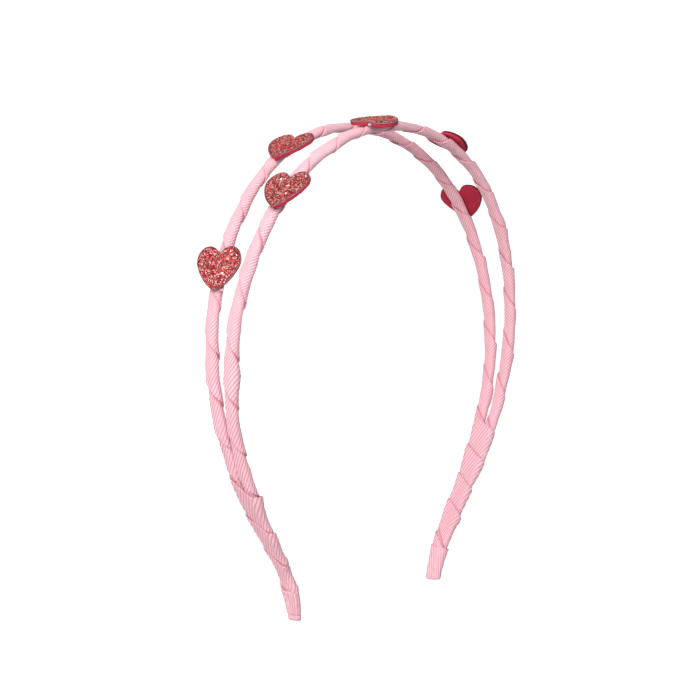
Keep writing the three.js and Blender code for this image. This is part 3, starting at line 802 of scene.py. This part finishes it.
def flake_material(row):
    """Metallic flake, with small differences in tint and gloss from flake to flake."""
    material, tree, shader = node_tree(f"{row['shade']}_flake")
    fibres = place_fibres(tree, fibre_scale=1500.0, tint_scale=700.0)
    deep = tuple(FLAKE_TINT["deep"] * value for value in row["colour"])
    pale = tuple(min(1.0, FLAKE_TINT["pale"] * value + FLAKE_TINT["whitened"]) for value in row["colour"])
    tree.links.new(mix_colour(tree, fibres.outputs["Tint"], deep, pale), shader.inputs["Base Color"])
    uneven_gloss(tree, shader, fibres, least=0.2, spread=0.3)
    shader.inputs["Metallic"].default_value = 0.7
    return material


def backing_material(name, deep, pale):
    """Backing sheet: dull dark red on its face and a greyer brown along its cut edge."""
    material, tree, shader = node_tree(name)
    fibres = place_fibres(tree, fibre_scale=2200.0, tint_scale=600.0)
    tree.links.new(mix_colour(tree, fibres.outputs["Tint"], deep, pale), shader.inputs["Base Color"])
    fine_relief(tree, shader, fibres.outputs["Speckle"], strength=0.6, depth=0.0001)
    shader.inputs["Roughness"].default_value = 0.6
    return material


def inside_heart(spots, outline):
    """Which spots lie inside a closed outline."""
    x, y = spots[:, 0:1], spots[:, 1:2]
    ahead = np.roll(outline, -1, axis=0)
    crosses = (outline[:, 1] > y) != (ahead[:, 1] > y)
    rise = np.where(ahead[:, 1] == outline[:, 1], 1e-9, ahead[:, 1] - outline[:, 1])
    at = outline[:, 0] + (y - outline[:, 1]) / rise * (ahead[:, 0] - outline[:, 0])
    return (crosses & (x < at)).sum(1) % 2 == 1


def flake_coat(name, number, materials):
    """Crowded thin six-sided flakes over the face of a heart, each a closed plate."""
    pick = np.random.default_rng(100 + number)
    gap = FLAKE["spacing"]
    columns = np.arange(-HEART["width"] / 2, HEART["width"] / 2, gap)
    rows = np.arange(-HEART["height"] / 2, HEART["height"] / 2, gap * 0.87)
    spots = np.array([(x + gap / 2 * (j % 2), y) for j, y in enumerate(rows) for x in columns])
    spots = spots + pick.uniform(-FLAKE["scatter"], FLAKE["scatter"], spots.shape) * gap
    spots = spots[inside_heart(spots, heart_outline(HEART) * FLAKE_RIM["last"])]
    n = len(spots)
    near_rim = ~inside_heart(spots, heart_outline(HEART) * FLAKE_RIM["small_from"])
    size = FLAKE["radius"] * pick.uniform(*FLAKE["sizes"], n) * np.where(near_rim, FLAKE_RIM["small"], 1.0)
    long = pick.uniform(*FLAKE["stretch"], n)
    spin = pick.uniform(0, 2 * np.pi, n)
    tilt = np.minimum(np.abs(pick.normal(0, FLAKE_TILT["spread"], n)), FLAKE_TILT["most"])
    lean = np.radians(FLAKE_TILT["usual_deg"]) * tilt
    toward = pick.uniform(0, 2 * np.pi, n)
    height = GLITTER["base"] + GLITTER["thickness"] + FLAKE["lift"] * pick.uniform(0, 1, n)
    angle = np.arange(6) * np.pi / 3
    ring_x = np.cos(angle)[None, :] * (size * long)[:, None]
    ring_y = np.sin(angle)[None, :] * (size / long)[:, None]
    x = ring_x * np.cos(spin)[:, None] - ring_y * np.sin(spin)[:, None]
    y = ring_x * np.sin(spin)[:, None] + ring_y * np.cos(spin)[:, None]
    z = np.tan(lean)[:, None] * (x * np.cos(toward)[:, None] + y * np.sin(toward)[:, None])
    top = np.stack([x + spots[:, :1], y + spots[:, 1:], z + height[:, None]], -1)
    points = np.concatenate([top - [0, 0, FLAKE["thickness"]], top], 1).reshape(-1, 3)
    plate = [[5, 4, 3, 2, 1, 0], [6, 7, 8, 9, 10, 11]]
    plate += [[i, (i + 1) % 6, 6 + (i + 1) % 6, 6 + i] for i in range(6)]
    faces = [[12 * k + corner for corner in face] for k in range(n) for face in plate]
    # Each flake draws one of these colours, the painted glints and painted shade among them.
    shades = pick.choice(len(FLAKE_SHADES), n, p=[row["share"] for row in FLAKE_SHADES])
    mesh = bpy.data.meshes.new(name)
    mesh.from_pydata(put_on(heart_place(HEARTS[number - 1]), points).tolist(), [], faces)
    for material in materials:
        mesh.materials.append(material)
    mesh.polygons.foreach_set("material_index", np.repeat(shades, len(plate)).astype(np.int32))
    return piece_of(mesh)


FLAKES = [flake_material(row) for row in FLAKE_SHADES]
BACKING = backing_material("glitter_backing", (0.10, 0.010, 0.016), (0.17, 0.022, 0.028))
CUT_EDGE = backing_material("glitter_cut_edge", (0.19, 0.1, 0.1), (0.5, 0.36, 0.33))
for number in range(1, len(HEARTS) + 1):
    rows = slab_rows(GLITTER["base"], GLITTER["thickness"], GLITTER["round"], HEART["height"] / 2)
    sheet = heart_slab(f"heart_{number}_glitter_sheet", number, HEART, rows, GLITTER["uneven"],
                       1.0, (0.0, 0.0), BACKING, CUT_EDGE)
    coat = flake_coat(f"heart_{number}_flakes", number, FLAKES)
    for piece in (sheet, coat):
        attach(piece, "root")
    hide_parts(f"heart_{number}_glitter")

# Glue. Clear hot glue squeezed out from under three of the hearts and set as small glossy beads, with one
# drawn out along the ribbon. Places are in the heart's own millimetres: right, up to the notch, out.
GLUE = {
    "deep": (0.86, 0.70, 0.72), "pale": (0.95, 0.88, 0.88),
    "rings": 14, "around": 24, "lumps": 0.22, "lump_scale": 1.6,
}
GLUE_BEADS = [
    {"name": "glue_at_heart_1", "heart": 1, "at": (1.7, -5.7, -0.15), "half": (0.9, 0.28, 0.25)},
    {"name": "glue_at_heart_5", "heart": 5, "at": (0.1, 4.1, 0.0), "half": (0.75, 0.75, 0.5)},
    {"name": "glue_at_heart_6", "heart": 6, "at": (0.0, 4.2, 0.0), "half": (0.7, 0.8, 0.5)},
    {"name": "glue_beside_heart_6", "heart": 6, "at": (-1.2, 5.6, -0.45), "half": (0.35, 0.7, 0.25)},
]


def glue_material():
    """Hot glue: milky clear, glossy, a little uneven."""
    material, tree, shader = node_tree("clear_glue")
    fibres = place_fibres(tree, fibre_scale=900.0, tint_scale=500.0)
    milky = mix_colour(tree, fibres.outputs["Tint"], GLUE["deep"], GLUE["pale"])
    tree.links.new(milky, shader.inputs["Base Color"])
    uneven_gloss(tree, shader, fibres, least=0.1, spread=0.15)
    shader.inputs["Transmission Weight"].default_value = 0.4
    shader.inputs["IOR"].default_value = 1.47
    return material


def glue_bead(row, material):
    """Lumpy closed bead of glue."""
    rise = np.linspace(-np.pi / 2, np.pi / 2, GLUE["rings"])[1:-1, None]
    turn = np.linspace(0, 2 * np.pi, GLUE["around"], endpoint=False)[None, :]
    ball = np.stack([np.cos(rise) * np.cos(turn), np.cos(rise) * np.sin(turn), np.sin(rise) + 0 * turn], -1)
    seed = Vector(row["at"])
    bumps = [[noise.noise(Vector(spot) * GLUE["lump_scale"] + seed) for spot in ring] for ring in ball]
    swollen = 1 + GLUE["lumps"] * np.array(bumps)[..., None]
    points = np.array(row["at"]) + ball * swollen * row["half"]
    uvs = np.stack([turn + 0 * rise, rise + 0 * turn], -1)
    rings = put_on(heart_place(HEARTS[row["heart"] - 1]), points)
    return ring_tube(row["name"], rings, {"weave": uvs}, material)


CLEAR_GLUE = glue_material()
for row in GLUE_BEADS:
    bead = glue_bead(row, CLEAR_GLUE)
    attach(bead, "root")

# Floor, light and camera. A plain pale floor under a soft key light from the left leg's side, a wide fill
# from above and a low reflector, seen from the side that shows the outside of the left leg. To the lens the
# floor and the room glow as a white backdrop does.
FLOOR = {"half": 3.0, "colour": (0.6, 0.6, 0.6), "glow": 0.1, "glow_to_lens": 0.85}
LIGHTS = [
    {"name": "key_light", "from": (-0.39, 0.23, 0.325), "size": 0.43, "watts": 3.2},
    {"name": "fill_light", "from": (-0.25, 0.25, 0.95), "size": 1.1, "watts": 1.25},
    {"name": "low_light", "from": (-0.36, -0.40, 0.22), "size": 0.4, "watts": 0.75},
]
LIGHT_AIM = (0.0, 0.0, 0.02)
ROOM = {"colour": (1.0, 1.0, 1.0), "strength": 0.135, "to_lens": 1.0}
CAMERA = {
    "from": (-0.28377, 0.020824, 0.279693),
    "aim": (-0.013314, 0.005416, 0.012336),
    "up": (0.055133, 0.998478, -0.001772),
    "lens": 66.467,
    "sensor": 36.0,
}

floor_mesh = bpy.data.meshes.new("floor")
reach = FLOOR["half"]
floor_corners = [(-reach, -reach, 0), (reach, -reach, 0), (reach, reach, 0), (-reach, reach, 0)]
floor_mesh.from_pydata(floor_corners, [], [(0, 1, 2, 3)])
floor_paint, floor_tree, floor_shader = node_tree("pale_floor")
floor_shader.inputs["Base Color"].default_value = (*FLOOR["colour"], 1)
floor_shader.inputs["Roughness"].default_value = 0.9
floor_shader.inputs["Emission Color"].default_value = (1, 1, 1, 1)
seen = floor_tree.nodes.new("ShaderNodeLightPath").outputs["Is Camera Ray"]
backdrop = math_node(floor_tree, "MULTIPLY", seen, FLOOR["glow_to_lens"] - FLOOR["glow"])
glow = math_node(floor_tree, "ADD", backdrop, FLOOR["glow"])
floor_tree.links.new(glow, floor_shader.inputs["Emission Strength"])
floor_mesh.materials.append(floor_paint)
floor = piece_of(floor_mesh)


def looking(place, aim, up):
    """Pose of a light or camera that looks from a place to an aim point."""
    back = (Vector(place) - Vector(aim)).normalized()
    right = Vector(up).cross(back).normalized()
    pose = Matrix((right, back.cross(right), back)).transposed().to_4x4()
    pose.translation = Vector(place)
    return pose


for row in LIGHTS:
    lamp = bpy.data.lights.new(row["name"], "AREA")
    lamp.shape, lamp.size, lamp.energy = "DISK", row["size"], row["watts"]
    holder = piece_of(lamp)
    holder.matrix_world = looking(row["from"], LIGHT_AIM, (0, 1, 0))

room = bpy.data.worlds.new("white_room")
room.use_nodes = True
room.node_tree.nodes["Background"].inputs["Color"].default_value = (*ROOM["colour"], 1)
in_view = room.node_tree.nodes.new("ShaderNodeLightPath").outputs["Is Camera Ray"]
beyond = math_node(room.node_tree, "MULTIPLY", in_view, ROOM["to_lens"] - ROOM["strength"])
room.node_tree.links.new(math_node(room.node_tree, "ADD", beyond, ROOM["strength"]),
                         room.node_tree.nodes["Background"].inputs["Strength"])
bpy.context.scene.world = room
bpy.context.scene.view_settings.view_transform = "Standard"

lens = bpy.data.cameras.new("camera")
lens.lens, lens.sensor_width, lens.clip_start = CAMERA["lens"], CAMERA["sensor"], 0.01
camera = piece_of(lens)
camera.matrix_world = looking(CAMERA["from"], CAMERA["aim"], CAMERA["up"])
bpy.context.scene.camera = camera
